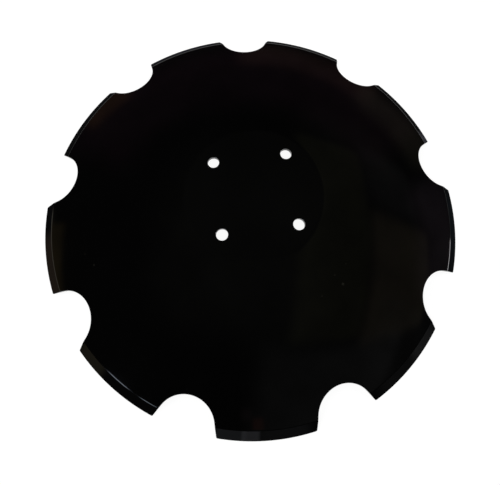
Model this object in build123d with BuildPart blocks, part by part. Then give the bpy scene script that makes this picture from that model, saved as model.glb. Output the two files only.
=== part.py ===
from build123d import *
from math import hypot, sqrt
import os

# Notched disc blade of a disc harrow: one steel plate pressed to a shallow dish.
# All sizes are in millimetres and degrees. The origin is the centre of the bolt circle, on the
# outside of the flat hub seat. The blade lies below it, hollow side down, on the tips of its teeth.
# One notch and one bolt hole both lie on the +X side, so the blade is the same on both sides of XZ.

# The pressed plate
blade_diameter = 510.0  # across the teeth
plate_thickness = 5.0
dish_depth = 48.0  # from the plane of the cutting edge to the inner face of the seat
seat_diameter = 156.0  # flat middle, measured on the hollow side
seat_bend_radius = 40.0  # soft bend from the seat to the dish, on the hollow side

# The cutting edge, ground on the outside
bevel_width = 11.5  # seen from above
bevel_blend_radius = 8.0  # rounding where the bevel meets the dish
edge_land = 0.8  # blunt height left at the very edge

# The notches
notch_count = 9
notch_depth = 37.0  # from the rim to the bottom of a notch
notch_root_radius = 31.5
notch_flare = 23.0  # how far each side leans away from the radius
tooth_corner_radius = 1.8

# The bolt holes
bolt_circle_diameter = 120.0
bolt_hole_count = 4
bolt_hole_diameter = 13.0

# Heights of the seat and the rim
blade_radius = blade_diameter / 2
seat_radius = seat_diameter / 2
seat_inner_z = -plate_thickness
rim_z = seat_inner_z - dish_depth

# Both faces of the dish are spheres about one point on the axis, one plate thickness apart.
# The inner sphere passes through the edge of the seat and through the cutting edge.
dish_centre_z = (seat_inner_z + rim_z) / 2 + (seat_radius**2 - blade_radius**2) / (2 * dish_depth)
inner_sphere_radius = hypot(seat_radius, seat_inner_z - dish_centre_z)
outer_sphere_radius = inner_sphere_radius + plate_thickness
outer_seat_radius = sqrt(outer_sphere_radius**2 - dish_centre_z**2)

# The bevel runs in a straight line from the outer face down to the land at the rim.
bevel_start_radius = blade_radius - bevel_width
bevel_start_z = dish_centre_z + sqrt(outer_sphere_radius**2 - bevel_start_radius**2)


def plate_section():
    """Half section of the plate, from the axis out to the land at the rim."""
    with BuildSketch(Plane.XZ) as section:
        with BuildLine():
            outer_seat = Line((0, 0), (outer_seat_radius, 0))
            outer_dish = RadiusArc(outer_seat @ 1, (bevel_start_radius, bevel_start_z), outer_sphere_radius)
            bevel = Line(outer_dish @ 1, (blade_radius, rim_z + edge_land))
            land = Line(bevel @ 1, (blade_radius, rim_z))
            inner_dish = RadiusArc(land @ 1, (seat_radius, seat_inner_z), -inner_sphere_radius)
            inner_seat = Line(inner_dish @ 1, (0, seat_inner_z))
            Line(inner_seat @ 1, outer_seat @ 0)
        make_face()
        fillet(section.vertices().sort_by_distance(outer_seat @ 1)[0], seat_bend_radius + plate_thickness)
        fillet(section.vertices().sort_by_distance(inner_dish @ 1)[0], seat_bend_radius)
        fillet(section.vertices().sort_by_distance(outer_dish @ 1)[0], bevel_blend_radius)
    return section


def notch_pattern():
    """Plan of the notches: a round bottom and two straight sides that flare towards the rim."""
    root_centre_x = blade_radius - notch_depth + notch_root_radius
    mouth_x = blade_radius + notch_root_radius
    with BuildSketch(mode=Mode.PRIVATE) as notch:
        with BuildLine():
            root = CenterArc((root_centre_x, 0), notch_root_radius, 90 + notch_flare, 180 - 2 * notch_flare)
            left = PolarLine(root @ 0, mouth_x - (root @ 0).X, notch_flare, length_mode=LengthMode.HORIZONTAL)
            right = PolarLine(root @ 1, mouth_x - (root @ 1).X, -notch_flare, length_mode=LengthMode.HORIZONTAL)
            Line(left @ 1, right @ 1)
        make_face()
    with BuildSketch() as notches:
        with PolarLocations(0, notch_count):
            add(notch.sketch)
    return notches


with BuildPart() as disc_blade:
    section = plate_section()
    revolve(section.sketch, axis=Axis.Z)

    notches = notch_pattern()
    extrude(notches.sketch, amount=rim_z - plate_thickness, mode=Mode.SUBTRACT)
    corners = disc_blade.edges().filter_by(Axis.Z).sort_by(SortBy.DISTANCE)[-2 * notch_count :]
    fillet(corners, tooth_corner_radius)

    with PolarLocations(bolt_circle_diameter / 2, bolt_hole_count):
        Hole(bolt_hole_diameter / 2)

disc_blade.part.label = "disc_blade"

os.makedirs("parts", exist_ok=True)
export_step(disc_blade.part, "parts/disc_blade.step")
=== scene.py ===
from math import acos, asin, atan2, cos, hypot, pi, radians, sin, sqrt

import bpy
import bmesh
from bpy.props import FloatProperty, FloatVectorProperty, IntProperty, PointerProperty
from mathutils import Matrix, Vector


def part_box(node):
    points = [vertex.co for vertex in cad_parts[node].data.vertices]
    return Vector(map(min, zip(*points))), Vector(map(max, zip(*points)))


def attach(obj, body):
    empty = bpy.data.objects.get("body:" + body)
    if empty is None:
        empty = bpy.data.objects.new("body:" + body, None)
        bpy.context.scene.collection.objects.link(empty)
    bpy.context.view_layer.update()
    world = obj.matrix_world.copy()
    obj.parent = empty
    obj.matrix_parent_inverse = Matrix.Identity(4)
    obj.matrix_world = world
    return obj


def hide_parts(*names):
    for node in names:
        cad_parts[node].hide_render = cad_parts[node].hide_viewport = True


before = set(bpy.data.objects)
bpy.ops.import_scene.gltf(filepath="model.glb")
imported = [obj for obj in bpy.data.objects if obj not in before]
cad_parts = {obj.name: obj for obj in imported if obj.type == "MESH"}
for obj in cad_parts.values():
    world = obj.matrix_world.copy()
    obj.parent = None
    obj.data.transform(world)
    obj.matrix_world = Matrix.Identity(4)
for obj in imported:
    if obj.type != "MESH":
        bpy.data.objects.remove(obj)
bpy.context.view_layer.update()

bl_info = {
    "name": "Harrow disc blade",
    "version": (1, 0, 0),
    "blender": (4, 5, 0),
    "location": "View3D > Sidebar > Harrow",
    "description": "A notched disc blade in gloss black paint, with its stage",
    "category": "Object",
}

MM = 0.001
# Width of the camera's sensor in millimetres, and of the photograph in pixels
SENSOR_WIDTH = 36
PHOTO_WIDTH = 500


# Sizes and colours


class BladeSizes(bpy.types.PropertyGroup):
    """Sizes of the blade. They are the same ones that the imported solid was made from."""

    diameter: FloatProperty(
        name="Diameter", description="Across the teeth", default=510 * MM, subtype="DISTANCE",
        unit="LENGTH")
    thickness: FloatProperty(
        name="Plate thickness", description="Steel plate", default=5 * MM, subtype="DISTANCE",
        unit="LENGTH")
    dish_depth: FloatProperty(
        name="Dish depth", description="Cutting edge to the inner face of the seat",
        default=48 * MM, subtype="DISTANCE", unit="LENGTH")
    seat_diameter: FloatProperty(
        name="Seat diameter", description="Flat middle, on the hollow side", default=156 * MM,
        subtype="DISTANCE", unit="LENGTH")
    seat_bend: FloatProperty(
        name="Seat bend", description="Bend radius from the seat to the dish, on the hollow side",
        default=40 * MM, subtype="DISTANCE", unit="LENGTH")
    bevel_width: FloatProperty(
        name="Bevel width", description="Ground edge, seen from above", default=11.5 * MM,
        subtype="DISTANCE", unit="LENGTH")
    bevel_blend: FloatProperty(
        name="Bevel blend", description="Rounding where the bevel meets the dish", default=8 * MM,
        subtype="DISTANCE", unit="LENGTH")
    edge_land: FloatProperty(
        name="Edge land", description="Blunt height left at the very edge", default=0.8 * MM,
        subtype="DISTANCE", unit="LENGTH")
    notches: IntProperty(name="Notches", description="Notches round the rim", default=9, min=3)
    notch_depth: FloatProperty(
        name="Notch depth", description="Rim to the bottom of a notch", default=37 * MM,
        subtype="DISTANCE", unit="LENGTH")
    notch_root: FloatProperty(
        name="Notch root radius", description="Round bottom of a notch", default=31.5 * MM,
        subtype="DISTANCE", unit="LENGTH")
    notch_flare: FloatProperty(
        name="Notch flare", description="How far each side leans from the radius",
        default=radians(23), subtype="ANGLE", unit="ROTATION")
    tooth_corner: FloatProperty(
        name="Tooth corner radius", description="Corner between a notch and the rim",
        default=1.8 * MM, subtype="DISTANCE", unit="LENGTH")
    bolt_circle: FloatProperty(
        name="Bolt circle", description="Diameter through the bolt holes", default=120 * MM,
        subtype="DISTANCE", unit="LENGTH")
    bolt_holes: IntProperty(name="Bolt holes", description="Holes in the seat", default=4, min=1)
    bolt_hole: FloatProperty(
        name="Bolt hole", description="Diameter of a bolt hole", default=13 * MM,
        subtype="DISTANCE", unit="LENGTH")
    edge_round: FloatProperty(
        name="Edge rounding", description="Paint rounds off the punched edges", default=0.45 * MM,
        subtype="DISTANCE", unit="LENGTH")
    rim_round: FloatProperty(
        name="Rim rounding", description="Rounding on both sides of the land", default=0.24 * MM,
        subtype="DISTANCE", unit="LENGTH")


class PaintFinish(bpy.types.PropertyGroup):
    """Colours of the paint."""

    body: FloatVectorProperty(
        name="Paint", description="Gloss black", default=(0.0006, 0.0006, 0.0006), subtype="COLOR",
        size=3, min=0, max=1)
    dust: FloatVectorProperty(
        name="Dust", description="Fine specks on the paint", default=(0.02, 0.019, 0.016),
        subtype="COLOR", size=3, min=0, max=1)
    edge: FloatVectorProperty(
        name="Ground edge", description="Thin paint over the ground bevel",
        default=(0.0026, 0.0026, 0.0028), subtype="COLOR", size=3, min=0, max=1)


class StageView(bpy.types.PropertyGroup):
    """The camera that comes closest to the photograph, about the middle of the hub seat."""

    azimuth: FloatProperty(
        name="Azimuth", description="Camera round the axis", default=radians(-58.18),
        subtype="ANGLE", unit="ROTATION")
    elevation: FloatProperty(
        name="Elevation", description="Camera above the floor", default=radians(71.84),
        subtype="ANGLE", unit="ROTATION")
    roll: FloatProperty(
        name="Roll", description="Camera about its own axis", default=radians(5.34),
        subtype="ANGLE", unit="ROTATION")
    distance: FloatProperty(
        name="Distance", description="Camera to the hub seat", default=397.1 * MM,
        subtype="DISTANCE", unit="LENGTH")
    aside: FloatProperty(
        name="Aside", description="Camera moved to its right", default=-5.9 * MM,
        subtype="DISTANCE", unit="LENGTH")
    lens: FloatProperty(
        name="Lens", description="Focal length in millimetres",
        default=353.9 / PHOTO_WIDTH * SENSOR_WIDTH, min=1)
    shift: FloatProperty(name="Shift", description="Upright lens shift", default=-0.10)


# Node helpers


class Wire:
    """A socket in a node tree. Maths on wires adds the Math nodes that work it out."""

    def __init__(self, nodes, socket):
        self.nodes = nodes
        self.socket = socket

    def math(self, operation, *values):
        inputs = dict(enumerate((self, *values)))
        return self.nodes.node("ShaderNodeMath", {"operation": operation}, inputs)

    def swapped(self, operation, value):
        return self.nodes.node("ShaderNodeMath", {"operation": operation}, {0: value, 1: self})

    def __add__(self, value):
        return self.math("ADD", value)

    __radd__ = __add__

    def __sub__(self, value):
        return self.math("SUBTRACT", value)

    def __rsub__(self, value):
        return self.swapped("SUBTRACT", value)

    def __mul__(self, value):
        return self.math("MULTIPLY", value)

    __rmul__ = __mul__

    def __truediv__(self, value):
        return self.math("DIVIDE", value)

    def __rtruediv__(self, value):
        return self.swapped("DIVIDE", value)

    def __pow__(self, value):
        return self.math("POWER", value)

    def __rpow__(self, value):
        return self.swapped("POWER", value)

    def __lt__(self, value):
        return self.math("LESS_THAN", value)

    def __gt__(self, value):
        return self.math("GREATER_THAN", value)

    def clamped(self):
        return self.nodes.node("ShaderNodeClamp", {}, {"Value": self})


class Nodes:
    """A node tree that is being filled."""

    def __init__(self, tree):
        self.tree = tree

    def node(self, kind, settings=None, values=None, out=0):
        """Adds a node: its settings first, then its values and links. Gives one of its outputs."""
        made = self.tree.nodes.new(kind)
        for name, value in (settings or {}).items():
            setattr(made, name, value)
        for key, value in (values or {}).items():
            if isinstance(value, Wire):
                self.tree.links.new(value.socket, made.inputs[key])
            else:
                made.inputs[key].default_value = value
        return Wire(self, made.outputs[out]) if made.outputs else made

    def outputs(self, wire):
        """The other outputs of the node that a wire comes from."""
        return [Wire(self, socket) for socket in wire.socket.node.outputs]


def root(wire):
    return wire.math("SQRT")


def sine(wire):
    return wire.math("SINE")


def cosine(wire):
    return wire.math("COSINE")


def either(test, yes, no):
    """yes where the test is 1, no where it is 0."""
    return test * (yes - no) + no


def smooth_step(nodes, value, start, stop):
    """0 below start and 1 above stop, with a soft change between."""
    return nodes.node("ShaderNodeMapRange", {"interpolation_type": "SMOOTHSTEP"}, {
        "Value": value, "From Min": start, "From Max": stop, "To Min": 0.0, "To Max": 1.0})


def between(nodes, value, low, high, soft):
    """1 between low and high, 0 outside, with soft ends."""
    above = smooth_step(nodes, value, low - soft, low + soft)
    return above * (1 - smooth_step(nodes, value, high - soft, high + soft))


def noise(nodes, place, scale, detail=2.0, rough=0.5):
    """Soft random values about 0.5."""
    return nodes.node("ShaderNodeTexNoise", {"noise_dimensions": "3D"}, {
        "Vector": place, "Scale": scale, "Detail": detail, "Roughness": rough})


def grey(value):
    """A grey, as a colour socket takes it."""
    return (value, value, value, 1.0)


def mix_colour(nodes, share, first, second):
    """First colour where the share is 0, second where it is 1."""
    def full(colour):
        return colour if isinstance(colour, Wire) else (*colour, 1.0)
    return nodes.node("ShaderNodeMix", {"data_type": "RGBA"}, {
        0: share, 6: full(first), 7: full(second)}, out=2)


def add_colour(nodes, colour, share, more):
    """A colour with a share of another one added."""
    return nodes.node("ShaderNodeVectorMath", {"operation": "MULTIPLY_ADD"}, {
        0: share, 1: more, 2: colour})


def seen_directly(nodes):
    """1 for the camera's rays and for those of a gloss or a clear piece, 0 for all other light."""
    ways = {wire.socket.name: wire for wire in nodes.outputs(nodes.node("ShaderNodeLightPath"))}
    return (ways["Is Camera Ray"] + ways["Is Glossy Ray"] + ways["Is Transmission Ray"]).clamped()


def new_material(name):
    """An empty material and its node tree."""
    material = bpy.data.materials.new(name)
    material.use_nodes = True
    material.node_tree.nodes.clear()
    return material, Nodes(material.node_tree)


# The photograph's frame is the blade's own, turned about the axis. Azimuth 0 is at the photograph's
# right-hand side.
PHOTO_TURN = radians(57)


def photo_frame(nodes, place):
    """How far a place lies to the photograph's right and top, its height, and its radius."""
    x, y, z = nodes.outputs(nodes.node("ShaderNodeSeparateXYZ", {}, {0: place}))
    right = x * cos(PHOTO_TURN) - y * sin(PHOTO_TURN)
    ahead = x * sin(PHOTO_TURN) + y * cos(PHOTO_TURN)
    return right, ahead, z, root(x**2 + y**2)


def round_about(nodes, right, ahead, radius, azimuth, half, soft):
    """1 within half a width of an azimuth in the photograph's frame, 0 further round."""
    towards = (right * cos(radians(azimuth)) + ahead * sin(radians(azimuth))) / radius
    return smooth_step(nodes, towards, cos(radians(half + soft)), cos(radians(max(half - soft, 0))))


# The blade's section

# Steps between the rows of the mesh along one face, in each part of the section
SEAT_STEPS = 3
BEND_STEPS = 6
DISH_STEPS = 20
BLEND_STEPS = 7
BEVEL_STEPS = 2
# Rows this close to a rounding keep its shading off the plain face beside it.
BEND_HOLD = 1.2 * MM
BLEND_HOLD = 0.5 * MM
# Where the even rows start again, past the bend and past the blend
PAST_BEND = 6 * MM
PAST_BLEND = 3 * MM
# How far the rows turn round the rounding of an edge
ROUNDING_TURNS = (0, 30, 60, 90)
# Rows on the faces stop this many roundings in from the edge.
FACE_INSET = 1.7


def section_of(sizes):
    """The lengths that follow from the driving sizes."""
    outer_radius = sizes.diameter / 2
    seat = sizes.seat_diameter / 2
    inner_z = -sizes.thickness
    rim_z = inner_z - sizes.dish_depth
    centre_z = (inner_z + rim_z) / 2 + (seat**2 - outer_radius**2) / (2 * sizes.dish_depth)
    inner_sphere = hypot(seat, inner_z - centre_z)
    outer_sphere = inner_sphere + sizes.thickness

    # The bends on both faces share one centre, a bend radius below the inner face.
    bend_z = inner_z - sizes.seat_bend
    reach = inner_sphere - sizes.seat_bend
    bend_radius = sqrt(reach**2 - (bend_z - centre_z) ** 2)

    # The bevel is a straight line, rounded into the outer sphere.
    start = outer_radius - sizes.bevel_width
    start_z = centre_z + sqrt(outer_sphere**2 - start**2)
    end_z = rim_z + sizes.edge_land
    slope = (start_z - end_z) / sizes.bevel_width
    tilt = atan2(start_z - end_z, sizes.bevel_width)
    to_line = sin(tilt) * start + cos(tilt) * (start_z - centre_z) - sizes.bevel_blend
    blend_reach = outer_sphere - sizes.bevel_blend
    lean = tilt - acos(to_line / blend_reach)
    blend_radius = blend_reach * sin(lean)
    return {
        "Radius": outer_radius,
        "Thickness": sizes.thickness,
        "Inner sphere": inner_sphere,
        "Sphere height": centre_z,
        "Seat bend": sizes.seat_bend,
        "Bend place": bend_radius,
        "Blend radius": sizes.bevel_blend,
        "Blend place": blend_radius,
        "Blend height": centre_z + blend_reach * cos(lean),
        "Blend start": outer_sphere * sin(lean),
        "Blend end": blend_radius + sizes.bevel_blend * sin(tilt),
        "Bevel slope": slope,
        "Bevel end height": end_z,
        "Notch depth": sizes.notch_depth,
        "Notch root": sizes.notch_root,
        "Notch flare": sizes.notch_flare,
        "Tooth corner": sizes.tooth_corner,
        "Edge rounding": sizes.edge_round,
        "Rim rounding": sizes.rim_round,
        "Bolt circle": sizes.bolt_circle / 2,
        "Bolt hole": sizes.bolt_hole / 2,
    }


def evenly(start, stop, steps):
    """Places from start to stop in equal steps, both ends among them."""
    return [start + (stop - start) * step / steps for step in range(steps + 1)]


def face_radii(bend, tangent, rest):
    """Radii of the rows on one face, from the axis outwards, closer in the seat's bend."""
    seat = evenly(0, bend - BEND_HOLD, SEAT_STEPS)
    return seat + evenly(bend, tangent, BEND_STEPS) + [tangent + BEND_HOLD] + rest


def section_rows(part):
    """Rows of the mesh, from the axis on the hollow side, round the rim, and back on the outside.

    A row holds its radius, its side, and how far it lies in from the edge and up its rounding,
    as shares of the rounding's radius.
    """
    rim = part["Radius"]
    bend = part["Bend place"]
    reach = part["Inner sphere"] - part["Seat bend"]
    inner_tangent = bend * part["Inner sphere"] / reach
    outer_tangent = bend * (part["Inner sphere"] + part["Thickness"]) / reach
    blend_start = part["Blend start"]
    blend_end = part["Blend end"]
    inner = face_radii(bend, inner_tangent, evenly(inner_tangent + PAST_BEND, rim, DISH_STEPS))
    outer_rest = evenly(outer_tangent + PAST_BEND, blend_start - BLEND_HOLD, DISH_STEPS)
    outer_rest += evenly(blend_start, blend_end, BLEND_STEPS) + [blend_end + BLEND_HOLD]
    outer_rest += evenly(blend_end + PAST_BLEND, rim, BEVEL_STEPS)
    outer = face_radii(bend, outer_tangent, outer_rest)
    turn = [radians(angle) for angle in ROUNDING_TURNS]
    rounding = [(1 - sin(angle), 1 - cos(angle)) for angle in turn]
    rows = [(radius, 0.0, FACE_INSET, 0.0) for radius in inner]
    rows += [(rim, 0.0, inset, lift) for inset, lift in rounding]
    rows += [(rim, 1.0, inset, lift) for inset, lift in reversed(rounding)]
    rows += [(radius, 1.0, FACE_INSET, 0.0) for radius in reversed(outer)]
    return rows


def section_mesh(rows):
    """A mesh of one point for each row, which carries the row's four numbers."""
    mesh = bpy.data.meshes.new("blade_plate")
    mesh.from_pydata([(row[0], 0, 0) for row in rows], [], [])
    for column, name in enumerate(("row_radius", "row_side", "row_inset", "row_lift")):
        layer = mesh.attributes.new(name, "FLOAT", "POINT")
        layer.data.foreach_set("value", [row[column] for row in rows])
    return mesh


# The blade's node tree

# Columns of the mesh in half a notch pitch: the notch's round bottom, its side, the corner, the rim
COLUMNS = (16, 8, 7, 13)
# The bottom's columns follow a sine up to this angle, so they lie closer towards the notch's side.
BOTTOM_TURN = radians(60)
# The rounding grows by this share of the distance from the rim, up to the edge rounding.
ROUNDING_GROWTH = 0.1
WELD_DISTANCE = 0.01 * MM
SHARP_FOLD = radians(35)
# Each cutter of a bolt hole is a drum of this many sides and segments.
DRUM_SIDES = 96
DRUM_SEGMENTS = 3


def plate_height(size, radius, side):
    """Height of one face of the plate at a radius: side 1 is outside, 0 is hollow."""
    sphere_radius = side * size["Thickness"] + size["Inner sphere"]
    bend_radius = side * size["Thickness"] + size["Seat bend"]
    tangent = sphere_radius * size["Bend place"] / (size["Inner sphere"] - size["Seat bend"])
    flat = (side - 1) * size["Thickness"]
    bend = root(bend_radius**2 - (radius - size["Bend place"]) ** 2)
    bend = bend - (size["Seat bend"] + size["Thickness"])
    dish = root(sphere_radius**2 - radius**2) + size["Sphere height"]
    blend = root(size["Blend radius"] ** 2 - (radius - size["Blend place"]) ** 2)
    blend = blend + size["Blend height"]
    bevel = (size["Radius"] - radius) * size["Bevel slope"] + size["Bevel end height"]
    outside = either(radius < size["Blend end"], blend, bevel)
    outside = either(radius < size["Blend start"], dish, outside)
    beyond = either(side, outside, dish)
    return either(radius < size["Bend place"], flat, either(radius < tangent, bend, beyond))


def blade_outline(size, angle, inset):
    """Radius of the outline at an angle from a notch's middle, an inset in from the edge."""
    centre = size["Radius"] - size["Notch depth"] + size["Notch root"]
    flare = size["Notch flare"]
    root_radius = size["Notch root"] + inset
    corner_radius = size["Tooth corner"] - inset
    corner_place = size["Radius"] - size["Tooth corner"]
    side_reach = centre * sine(flare) - size["Notch root"]
    corner_angle = flare - ((side_reach - size["Tooth corner"]) / corner_place).math("ARCSINE")

    off_corner = angle - corner_angle
    bottom = centre * cosine(angle) - root(root_radius**2 - (centre * sine(angle)) ** 2)
    side = (side_reach - inset) / sine(flare - angle)
    corner = corner_place * cosine(off_corner)
    corner = corner + root(corner_radius**2 - (corner_place * sine(off_corner)) ** 2)
    rim = size["Radius"] - inset

    bottom_end = (root_radius * cosine(flare)).math("ARCTAN2", centre - root_radius * sine(flare))
    side_end_y = corner_place * sine(corner_angle) - corner_radius * cosine(flare)
    side_end_x = corner_place * cosine(corner_angle) + corner_radius * sine(flare)
    side_end = side_end_y.math("ARCTAN2", side_end_x)
    past_side = either(angle < corner_angle, corner, rim)
    return either(angle < bottom_end, bottom, either(angle < side_end, side, past_side))


def column_angle(column, part, notches):
    """Angle of a column of the mesh, and its angle from the nearest notch's middle."""
    centre = part["Radius"] - part["Notch depth"] + part["Notch root"]
    flare = part["Notch flare"]
    side_reach = centre * sin(flare) - part["Notch root"]
    corner_place = part["Radius"] - part["Tooth corner"]
    corner_angle = flare - asin((side_reach - part["Tooth corner"]) / corner_place)
    bottom_end = atan2(part["Notch root"] * cos(flare), centre - part["Notch root"] * sin(flare))
    side_end = atan2(
        corner_place * sin(corner_angle) - part["Tooth corner"] * cos(flare),
        corner_place * cos(corner_angle) + part["Tooth corner"] * sin(flare),
    )
    pitch = 2 * pi / notches
    half = sum(COLUMNS)
    notch = (column / (2 * half) + 0.5).math("FLOOR")
    from_notch = column - notch * (2 * half)
    steps = from_notch.math("ABSOLUTE")
    bottom_columns, side_columns, corner_columns, rim_columns = COLUMNS
    angle = sine((steps / bottom_columns).clamped() * BOTTOM_TURN) * (bottom_end / sin(BOTTOM_TURN))
    steps = steps - bottom_columns
    angle = angle + (steps / side_columns).clamped() * (side_end - bottom_end)
    steps = steps - side_columns
    angle = angle + (steps / corner_columns).clamped() * (corner_angle - side_end)
    steps = steps - corner_columns
    angle = angle + (steps / rim_columns).clamped() * (pitch / 2 - corner_angle)
    return notch * pitch + from_notch.math("SIGN") * angle, angle


def blade_tree(part, rows, notches, holes, paint):
    """Geometry Nodes for the blade: a grid rolled round the section, and the bolt holes cut out."""
    tree = bpy.data.node_groups.new("Notched blade", "GeometryNodeTree")
    tree.interface.new_socket("Section", in_out="INPUT", socket_type="NodeSocketGeometry")
    inputs = {}
    for name, value in part.items():
        socket = tree.interface.new_socket(name, in_out="INPUT", socket_type="NodeSocketFloat")
        socket.default_value = value
        inputs[name] = socket
    tree.interface.new_socket("Blade", in_out="OUTPUT", socket_type="NodeSocketGeometry")
    nodes = Nodes(tree)
    section = nodes.node("NodeGroupInput")
    size = {wire.socket.name: wire for wire in nodes.outputs(section)}

    # A flat grid with its points one apart, so a point's place gives its column and row.
    columns = 2 * sum(COLUMNS) * notches
    grid = nodes.node("GeometryNodeMeshGrid", {}, {
        "Size X": float(columns), "Size Y": float(len(rows) - 1),
        "Vertices X": columns + 1, "Vertices Y": len(rows)})
    place = nodes.node("GeometryNodeInputPosition")
    column, row, _ = nodes.outputs(nodes.node("ShaderNodeSeparateXYZ", {}, {0: place}))
    column = (column + columns / 2).math("ROUND")
    row = (row + (len(rows) - 1) / 2).math("ROUND")

    def row_value(name):
        named = nodes.node("GeometryNodeInputNamedAttribute", {"data_type": "FLOAT"}, {
            "Name": name})
        return nodes.node("GeometryNodeSampleIndex", {"data_type": "FLOAT", "domain": "POINT"}, {
            "Geometry": section, "Value": named, "Index": row})

    turned, angle = column_angle(column, part, notches)
    plain_outline = blade_outline(size, angle, angle * 0)
    rounding = (size["Radius"] - plain_outline) * ROUNDING_GROWTH + size["Rim rounding"]
    rounding = rounding.math("MINIMUM", size["Edge rounding"])
    outline = blade_outline(size, angle, rounding * row_value("row_inset"))
    radius = row_value("row_radius").math("MINIMUM", outline)
    side = row_value("row_side")
    lift = rounding * row_value("row_lift") * (1 - side * 2)
    height = plate_height(size, radius, side) + lift
    rolled = nodes.node("ShaderNodeCombineXYZ", {}, {
        0: radius * cosine(turned), 1: radius * sine(turned), 2: height})
    plate = nodes.node("GeometryNodeSetPosition", {}, {"Geometry": grid, "Position": rolled})
    plate = nodes.node("GeometryNodeMergeByDistance", {}, {
        "Geometry": plate, "Distance": WELD_DISTANCE})

    # A drum has four rings of points. The outer two are wider, which breaks the hole's edges.
    drum = nodes.node("GeometryNodeMeshCylinder", {}, {
        "Vertices": DRUM_SIDES, "Side Segments": DRUM_SEGMENTS, "Radius": 1.0,
        "Depth": float(DRUM_SEGMENTS)})
    drum_x, drum_y, drum_z = nodes.outputs(nodes.node("ShaderNodeSeparateXYZ", {}, {0: place}))
    outer_ring = drum_z.math("ABSOLUTE") > 1
    spread = outer_ring * size["Edge rounding"] * 2
    drum_radius = spread + size["Bolt hole"]
    # A quarter of a side's turn keeps the drum's corners off the plate's columns of points.
    drum_turn = radians(360 / DRUM_SIDES / 4)
    turned_x = drum_x * cos(drum_turn) - drum_y * sin(drum_turn)
    turned_y = drum_x * sin(drum_turn) + drum_y * cos(drum_turn)
    half_height = size["Thickness"] / 2 - size["Edge rounding"] + spread
    drum_height = drum_z.math("SIGN") * half_height - size["Thickness"] / 2
    cutter = nodes.node("GeometryNodeSetPosition", {}, {
        "Geometry": drum,
        "Position": nodes.node("ShaderNodeCombineXYZ", {}, {
            0: turned_x * drum_radius, 1: turned_y * drum_radius, 2: drum_height})})
    ring = nodes.node("GeometryNodeMeshCircle", {}, {
        "Vertices": holes, "Radius": size["Bolt circle"]})
    cutters = nodes.node("GeometryNodeInstanceOnPoints", {}, {"Points": ring, "Instance": cutter})
    cutters = nodes.node("GeometryNodeRealizeInstances", {}, {"Geometry": cutters})
    blade = nodes.node("GeometryNodeMeshBoolean", {"operation": "DIFFERENCE", "solver": "EXACT"}, {
        "Mesh 1": plate, "Mesh 2": cutters})

    # Smooth faces, with hard edges where two of them meet at more than the sharp fold.
    blade = nodes.node("GeometryNodeSetShadeSmooth", {"domain": "FACE"}, {
        "Geometry": blade, "Shade Smooth": True})
    fold = nodes.node("GeometryNodeInputMeshEdgeAngle")
    blade = nodes.node("GeometryNodeSetShadeSmooth", {"domain": "EDGE"}, {
        "Geometry": blade, "Selection": fold > SHARP_FOLD, "Shade Smooth": False})
    blade = nodes.node("GeometryNodeRealizeInstances", {}, {"Geometry": blade})
    blade = nodes.node("GeometryNodeSetMaterial", {}, {"Geometry": blade, "Material": paint})
    nodes.node("NodeGroupOutput", {}, {0: blade})
    return tree, inputs


# The paint

# Scales of the noises: broad clouds, sags, orange peel, dust specks and the ground edge's grain
CLOUD_SCALE = 9.0
SAG_SCALE = 26.0
PEEL_SCALE = 330.0
SPECK_SCALE = 420.0
GRAIN_SCALE = 900.0
# A speck starts where its noise passes the first value and is full at the second.
SPECK_EDGE = (0.80, 0.84)
# How pale the clouds make the paint, and how dark the grain makes the ground edge
CLOUD_TINT = 1.9
GRAIN_TINT = 0.7
# How far a speck and a nib take the dust's colour; for a nib it is partly a painted highlight
SPECK_DUST = 0.6
NIB_DUST_AND_HIGHLIGHT = 0.9
# A painted reflection on the ground bevel has at least this share of its colour, clouds add more.
REFLECTION_LEAST = 0.6
REFLECTION_CLOUD = 0.8
# How rough the two finishes are, and what the clouds and specks add to that. The clouds add twice
# as much on the ground edge.
GLOSS_ROUGHNESS = 0.055
SATIN_ROUGHNESS = 0.36
CLOUD_ROUGHNESS = 0.05
SPECK_ROUGHNESS = 0.2
# How strongly the two finishes mirror
GLOSS_SHINE = 0.5
SATIN_SHINE = 0.0005
# Strengths of the bumps, how deep they go, and the heights of the peel, the sags and a nib
GLOSS_BUMP = 0.35
SATIN_BUMP = 0.5
BUMP_DEPTH = 0.02 * MM
PEEL_HEIGHT = 0.35
SAG_HEIGHT = 1.6
NIB_HEIGHT = 14
# How softly the grinding starts, and how far below the bevel's face it is gone
GRIND_SOFTNESS = 0.3 * MM
GRIND_DEPTH = 0.5 * MM
# Painted reflections on the ground bevel, as paler patches, by their place round the blade.
PAINTED_BEVEL_REFLECTIONS = (
    # azimuth, half width, softness, colour
    (-157, 9, 3, (0.0132, 0.0092, 0.0060)),
    (-131, 4, 1.5, (0.0107, 0.0093, 0.0057)),
    (-92, 3.5, 1, (0.0150, 0.0158, 0.0175)),
    (-87, 2, 0.6, (0.0300, 0.0302, 0.0330)),
    (-79, 6, 2, (0.0060, 0.0060, 0.0062)),
    (-45, 7, 3, (0.0060, 0.0060, 0.0060)),
    (-36, 3.5, 3, (0.0160, 0.0160, 0.0160)),
    (-4, 10, 4, (0.0034, 0.0050, 0.0068)),
    (25, 2.5, 2, (0.0500, 0.0500, 0.0620)),
    (118, 10, 3, (0.0060, 0.0060, 0.0090)),
)
# Grit under the paint on the outside, with a painted highlight: its place in millimetres and how
# far its hump spreads.
PAINT_NIBS = (
    ((-22.7, -134.4, -9.7), 2.2),
    ((-169.2, 95.5, -25.1), 1.5),
    ((-166.8, 113.0, -27.4), 1.1),
    ((-20.5, -122.0, -7.2), 1.0),
    ((-46.8, -122.9, -8.7), 1.1),
)


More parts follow.
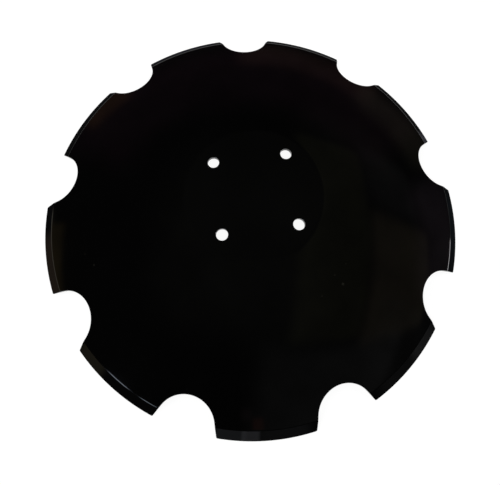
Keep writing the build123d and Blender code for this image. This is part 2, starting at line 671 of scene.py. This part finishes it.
def gloss_black_paint(finish, part):
    """Thick gloss paint with fine dust and a soft orange peel, satin with painted reflections on
    the bevel.
    """
    material, nodes = new_material("gloss_black_paint")
    place = nodes.node("ShaderNodeTexCoord", {}, {}, out="Object")
    right, ahead, z, radius = photo_frame(nodes, place)
    body, dust, edge = tuple(finish.body), tuple(finish.dust), tuple(finish.edge)

    cloud = noise(nodes, place, CLOUD_SCALE, detail=3.0)
    grain = noise(nodes, place, GRAIN_SCALE)
    specks = noise(nodes, place, SPECK_SCALE, detail=1.0)
    speck = smooth_step(nodes, specks, *SPECK_EDGE)
    peel = noise(nodes, place, PEEL_SCALE)
    sag = noise(nodes, place, SAG_SCALE)

    # The grinding starts in the middle of the blend, on the outside only.
    middle = (part["Blend start"] + part["Blend end"]) / 2
    over_bevel = z - part["Bevel end height"] + (radius - part["Radius"]) * part["Bevel slope"]
    on_bevel = smooth_step(nodes, radius, middle - GRIND_SOFTNESS, middle + GRIND_SOFTNESS)
    on_bevel = on_bevel * smooth_step(nodes, over_bevel, -GRIND_DEPTH, -GRIND_DEPTH / 2)

    tint = mix_colour(nodes, cloud, body, tuple(CLOUD_TINT * value for value in body))
    colour = mix_colour(nodes, speck * SPECK_DUST, tint, dust)
    height = peel * PEEL_HEIGHT + sag * SAG_HEIGHT
    for nib, spread in PAINT_NIBS:
        off = nodes.node("ShaderNodeVectorMath", {"operation": "DISTANCE"}, {
            0: place, 1: Vector(nib) * MM}, out="Value")
        hump = 1 - smooth_step(nodes, off, 0.0, spread * MM)
        height = height + hump * NIB_HEIGHT
        # A nib's pale colour is partly dust and partly a painted highlight on its hump.
        colour = mix_colour(nodes, hump * NIB_DUST_AND_HIGHLIGHT, colour, dust)
    bump = nodes.node("ShaderNodeBump", {}, {
        "Strength": GLOSS_BUMP, "Distance": BUMP_DEPTH, "Height": height})
    gloss = nodes.node("ShaderNodeBsdfPrincipled", {}, {
        "Base Color": colour,
        "Roughness": cloud * CLOUD_ROUGHNESS + speck * SPECK_ROUGHNESS + GLOSS_ROUGHNESS,
        "Specular IOR Level": GLOSS_SHINE, "Normal": bump})

    edge_grain_and_reflections = mix_colour(nodes, grain, tuple(GRAIN_TINT * value for value in edge), edge)
    # Each patch adds a painted reflection to the ground edge's grain-tinted colour.
    for azimuth, half, soft, reflection in PAINTED_BEVEL_REFLECTIONS:
        share = round_about(nodes, right, ahead, radius, azimuth, half, soft)
        share = share * (cloud * REFLECTION_CLOUD + REFLECTION_LEAST)
        edge_grain_and_reflections = add_colour(nodes, edge_grain_and_reflections, share, reflection)
    edge_bump = nodes.node("ShaderNodeBump", {}, {
        "Strength": SATIN_BUMP, "Distance": BUMP_DEPTH, "Height": grain})
    satin = nodes.node("ShaderNodeBsdfPrincipled", {}, {
        "Base Color": edge_grain_and_reflections, "Roughness": cloud * (2 * CLOUD_ROUGHNESS) + SATIN_ROUGHNESS,
        "Specular IOR Level": SATIN_SHINE, "Normal": edge_bump})
    surface = nodes.node("ShaderNodeMixShader", {}, {0: on_bevel, 1: gloss, 2: satin})
    nodes.node("ShaderNodeOutputMaterial", {}, {"Surface": surface})
    return material


class HARROW_OT_blade(bpy.types.Operator):
    """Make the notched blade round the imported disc_blade node, which it stands for"""

    bl_idname = "harrow.blade"
    bl_label = "Disc blade"

    def execute(self, context):
        sizes = context.scene.harrow_blade
        part = section_of(sizes)
        low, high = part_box("disc_blade")
        off_radius = high.y - sizes.diameter / 2
        off_depth = low.z + sizes.thickness + sizes.dish_depth
        if abs(off_radius) > MM or abs(off_depth) > MM:
            raise RuntimeError("The packed blade has other sizes than these")
        paint = gloss_black_paint(context.scene.harrow_paint, part)
        rows = section_rows(part)
        blade = bpy.data.objects.new("blade_plate", section_mesh(rows))
        context.scene.collection.objects.link(blade)
        tree, inputs = blade_tree(part, rows, sizes.notches, sizes.bolt_holes, paint)
        modifier = blade.modifiers.new("Notched blade", "NODES")
        modifier.node_group = tree
        for name, socket in inputs.items():
            modifier[socket.identifier] = part[name]
        context.view_layer.update()
        evaluated = blade.evaluated_get(context.evaluated_depsgraph_get())
        mesh = bpy.data.meshes.new_from_object(evaluated)
        if not mesh.polygons:
            raise RuntimeError("The blade came out empty")
        blade.modifiers.remove(modifier)
        blade.data = mesh
        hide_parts("disc_blade")
        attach(blade, "root")
        return {"FINISHED"}


# The stage

# The floor's own glow, the grey that takes light and shadow on it, and its grey to all other light
FLOOR_WHITE = 0.94
FLOOR_SHADE = 0.14
FLOOR_PLAIN = 0.8
# How bright the world is to light that isn't seen directly, and the canopy away from its panels
WORLD_GLOW = 0.03
CANOPY_GLOW = 0.009
# The canopy's light changes slowly over it: the scale of that, its swing and its least value
DRIFT_SCALE = 0.9
DRIFT_SWING = 1.2
DRIFT_LEAST = 0.4
# Places on the canopy below this height count as this high, so that nothing is divided by zero.
LEAST_HEIGHT = 0.05
STAGE_RADIUS = 5.0
STAGE_SIDES = 96
LAMP_SIZE = 1.2
LAMPS = (
    # name, place, watts
    ("key", (-0.9, 1.1, 1.5), 24),
    ("fill", (1.2, -0.6, 1.5), 14),
)
# Panels in the dark canopy that the gloss mirrors. One overhead lies between two places across and
# two places along, as shares of its height.
CEILING_PANELS = (
    # across, along, softness, colour
    ((-0.60, 0.50), (-0.60, 0.60), 0.32, (0.023, 0.023, 0.020)),
    ((0.34, 0.96), (-0.68, 0.95), 0.06, (0.035, 0.035, 0.019)),
    ((1.0, 2.2), (-0.76, 0.34), 0.10, (0.066, 0.055, 0.038)),
    ((0.16, 1.7), (-2.2, -0.74), 0.15, (0.036, 0.036, 0.036)),
    ((0.50, 1.6), (0.70, 1.5), 0.30, (0.014, 0.013, 0.011)),
    ((1.0, 1.9), (0.40, 1.1), 0.15, (0.024, 0.023, 0.024)),
)
# One near the horizon has its azimuth, half its width, and its lowest and highest elevation. The
# last four are brighter, for the thin glints along the bevel.
SIDE_PANELS = (
    # azimuth, half width, elevations, softness, colour
    (96, 57, (9, 36), 7, (0.022, 0.008, 0.016)),
    (76, 20, (6, 17), 3, (0.038, 0.021, 0.016)),
    (138, 7, (7, 15), 2.5, (0.064, 0.032, 0.012)),
    (44, 14, (9, 20), 4, (0.042, 0.039, 0.026)),
    (7, 17, (12, 26), 5, (0.060, 0.046, 0.058)),
    (-32, 16, (18, 36), 5, (0.018, 0.018, 0.018)),
    (-173, 11, (10, 22.5), 1.5, (0.095, 0.068, 0.028)),
    (-82.5, 1.5, (28.5, 32), 0.8, (0.080, 0.024, 0.016)),
    (-86.5, 1.3, (31.5, 35), 1.2, (0.030, 0.020, 0.021)),
    (0, 7, (1, 9.5), 1, (6.8, 6.5, 6.8)),
    (-130, 3.4, (10, 24), 1.5, (2.6, 2.9, 3.4)),
    (-118.5, 2.2, (10, 22), 1.5, (2.2, 2.5, 2.9)),
    (-174, 13, (1, 16), 2, (0.50, 0.46, 0.39)),
)


def floor_material():
    """Pale floor: white to the camera and in the gloss, plain to the rest of the light."""
    material, nodes = new_material("pale_floor")
    plain = nodes.node("ShaderNodeBsdfDiffuse", {}, {"Color": grey(FLOOR_PLAIN)})
    shade = nodes.node("ShaderNodeBsdfDiffuse", {}, {"Color": grey(FLOOR_SHADE)})
    white = nodes.node("ShaderNodeEmission", {}, {"Color": grey(1), "Strength": FLOOR_WHITE})
    pale = nodes.node("ShaderNodeAddShader", {}, {0: shade, 1: white})
    surface = nodes.node("ShaderNodeMixShader", {}, {0: seen_directly(nodes), 1: plain, 2: pale})
    nodes.node("ShaderNodeOutputMaterial", {}, {"Surface": surface})
    return material


def canopy_material():
    """Dark cloth round the set with paler panels in it, which the gloss paint mirrors."""
    material, nodes = new_material("dark_canopy")
    material.cycles.emission_sampling = "NONE"
    place = nodes.node("ShaderNodeTexCoord", {}, {}, out="Object")
    right, ahead, z, level = photo_frame(nodes, place)
    rise = z.math("ARCTAN2", level)
    height = z.math("MAXIMUM", LEAST_HEIGHT)
    across = right / height
    along = ahead / height

    light = nodes.node("ShaderNodeCombineXYZ", {}, {
        0: CANOPY_GLOW, 1: CANOPY_GLOW, 2: CANOPY_GLOW})
    for (left, far), (near, end), soft, colour in CEILING_PANELS:
        share = between(nodes, across, left, far, soft) * between(nodes, along, near, end, soft)
        light = add_colour(nodes, light, share, colour)
    for azimuth, half, (low, high), soft, colour in SIDE_PANELS:
        wide = round_about(nodes, right, ahead, level, azimuth, half, soft)
        share = wide * between(nodes, rise, radians(low), radians(high), radians(soft))
        light = add_colour(nodes, light, share, colour)
    drift = noise(nodes, place, DRIFT_SCALE, detail=3.0, rough=0.6)
    light = nodes.node("ShaderNodeVectorMath", {"operation": "SCALE"}, {
        0: light, "Scale": drift * DRIFT_SWING + DRIFT_LEAST})
    glow = nodes.node("ShaderNodeEmission", {}, {"Color": light, "Strength": 1.0})
    nodes.node("ShaderNodeOutputMaterial", {}, {"Surface": glow})
    return material


def stage_object(name, make, material):
    """A stage object whose mesh make() fills."""
    mesh = bpy.data.meshes.new(name)
    form = bmesh.new()
    make(form)
    form.to_mesh(mesh)
    form.free()
    mesh.materials.append(material)
    thing = bpy.data.objects.new(name, mesh)
    bpy.context.scene.collection.objects.link(thing)
    return thing


def studio_world(scene):
    """White to the camera and in the gloss, and dim to all other light."""
    world = bpy.data.worlds.new("studio")
    scene.world = world
    world.use_nodes = True
    world.node_tree.nodes.clear()
    nodes = Nodes(world.node_tree)
    dim = (WORLD_GLOW, WORLD_GLOW, WORLD_GLOW)
    colour = mix_colour(nodes, seen_directly(nodes), dim, (1.0, 1.0, 1.0))
    back = nodes.node("ShaderNodeBackground", {}, {"Color": colour, "Strength": 1.0})
    nodes.node("ShaderNodeOutputWorld", {}, {"Surface": back})


def lamp(scene, name, place, watts):
    """A soft square lamp that shines on the middle of the blade, and that the gloss leaves out."""
    light = bpy.data.lights.new(name, "AREA")
    light.size = LAMP_SIZE
    light.energy = watts
    thing = bpy.data.objects.new(name, light)
    thing.location = place
    thing.rotation_euler = (-Vector(place)).to_track_quat("-Z", "Y").to_euler()
    thing.visible_glossy = False
    scene.collection.objects.link(thing)


class HARROW_OT_stage(bpy.types.Operator):
    """Make the floor, the lights and the camera at the photograph's angle"""

    bl_idname = "harrow.stage"
    bl_label = "Stage"

    def execute(self, context):
        scene = context.scene
        view = scene.harrow_view

        def disc(form):
            bmesh.ops.create_circle(form, cap_ends=True, radius=STAGE_RADIUS, segments=STAGE_SIDES)

        def dome(form):
            bmesh.ops.create_uvsphere(
                form, u_segments=STAGE_SIDES, v_segments=STAGE_SIDES // 2, radius=STAGE_RADIUS)

        floor = stage_object("floor", disc, floor_material())
        floor.location.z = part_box("disc_blade")[0].z
        canopy = stage_object("canopy", dome, canopy_material())
        canopy.visible_camera = False
        canopy.visible_diffuse = False
        canopy.visible_transmission = False
        canopy.visible_shadow = False

        studio_world(scene)
        for name, place, watts in LAMPS:
            lamp(scene, name, place, watts)

        camera = bpy.data.cameras.new("camera")
        camera.lens = view.lens
        camera.sensor_width = SENSOR_WIDTH
        camera.shift_y = view.shift
        camera.clip_start = 0.01
        camera.clip_end = 50
        back = Vector((
            sin(view.azimuth) * cos(view.elevation),
            -cos(view.azimuth) * cos(view.elevation),
            sin(view.elevation)))
        right = (-back).cross(Vector((0, 0, 1))).normalized()
        up = right.cross(-back)
        turned_right = right * cos(view.roll) + up * sin(view.roll)
        turned_up = up * cos(view.roll) - right * sin(view.roll)
        eye = bpy.data.objects.new("camera", camera)
        turn = Matrix((turned_right, turned_up, back)).transposed().to_4x4()
        place = back * view.distance + turned_right * view.aside
        eye.matrix_world = Matrix.Translation(place) @ turn
        scene.collection.objects.link(eye)
        scene.camera = eye
        scene.view_settings.view_transform = "Standard"
        return {"FINISHED"}


class HARROW_PT_panel(bpy.types.Panel):
    """Lists the pieces"""

    bl_idname = "HARROW_PT_panel"
    bl_label = "Harrow disc blade"
    bl_space_type = "VIEW_3D"
    bl_region_type = "UI"
    bl_category = "Harrow"

    def draw(self, context):
        layout = self.layout
        scene = context.scene
        for operator in (HARROW_OT_blade, HARROW_OT_stage):
            layout.operator(operator.bl_idname)
        for group in (scene.harrow_blade, scene.harrow_paint, scene.harrow_view):
            box = layout.box()
            for name in group.bl_rna.properties.keys():
                if name not in ("name", "rna_type"):
                    box.prop(group, name)


CLASSES = (BladeSizes, PaintFinish, StageView, HARROW_OT_blade, HARROW_OT_stage, HARROW_PT_panel)


def register():
    for cls in CLASSES:
        bpy.utils.register_class(cls)
    bpy.types.Scene.harrow_blade = PointerProperty(type=BladeSizes)
    bpy.types.Scene.harrow_paint = PointerProperty(type=PaintFinish)
    bpy.types.Scene.harrow_view = PointerProperty(type=StageView)


def unregister():
    del bpy.types.Scene.harrow_view
    del bpy.types.Scene.harrow_paint
    del bpy.types.Scene.harrow_blade
    for cls in reversed(CLASSES):
        bpy.utils.unregister_class(cls)


def main():
    register()
    bpy.ops.harrow.blade()
    bpy.ops.harrow.stage()


if __name__ == "__main__":
    main()
